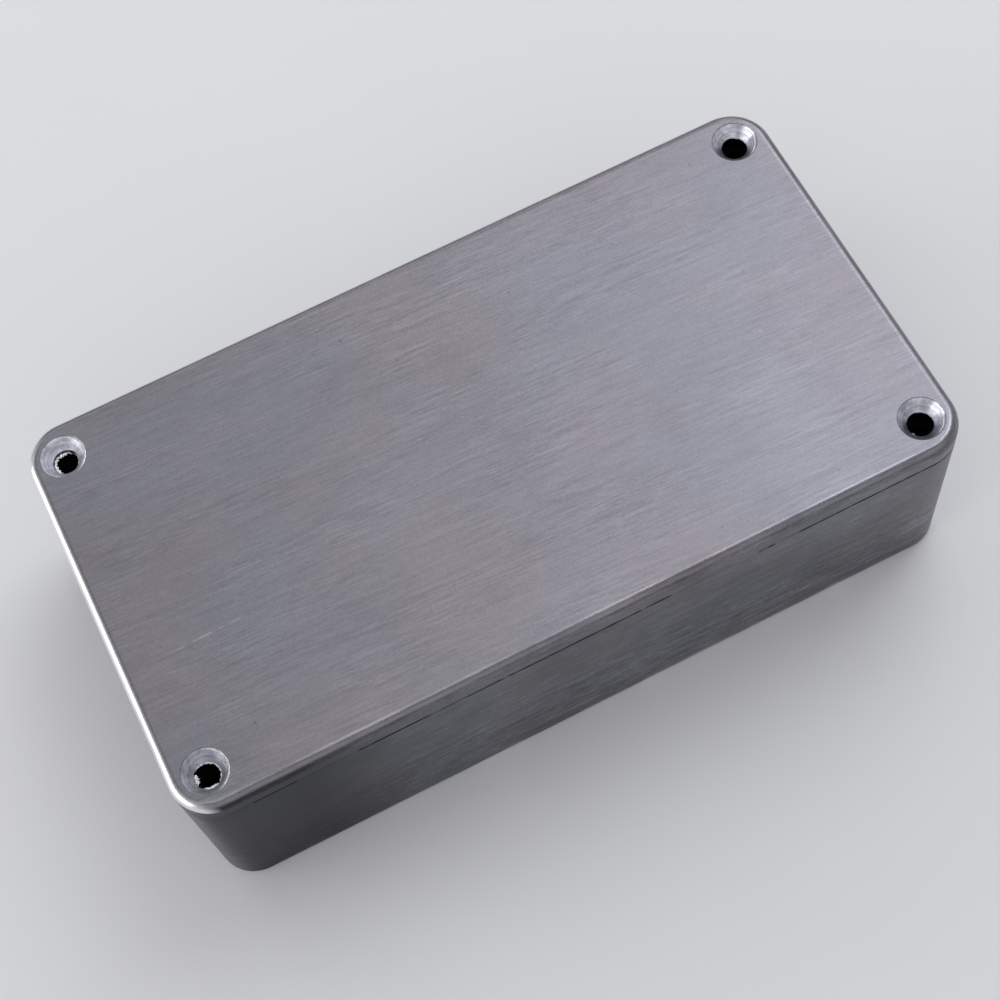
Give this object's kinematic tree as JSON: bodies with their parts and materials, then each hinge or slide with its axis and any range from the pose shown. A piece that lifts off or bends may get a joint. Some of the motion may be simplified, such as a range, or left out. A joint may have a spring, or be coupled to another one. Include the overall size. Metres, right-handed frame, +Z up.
{
  "type": "die cast aluminium box",
  "caption": "Small die cast aluminium enclosure with drafted walls, screw pillars in the corners and a lapped lid with countersunk screw holes.",
  "frame": {"origin": "centre of the underside of the floor", "axes": "+Z up through the lid, +X along the length, +Y across the width"},
  "size_m": [0.1124, 0.0604, 0.031],
  "materials": {
    "cast_body": "die cast aluminium, ground with long fine strokes, unpainted",
    "cast_lid": "die cast aluminium, brushed along its length, machined countersinks, unpainted"
  },
  "bodies": {
    "root": {"body": "cast_body", "lid": "cast_lid"}
  },
  "joints": []
}
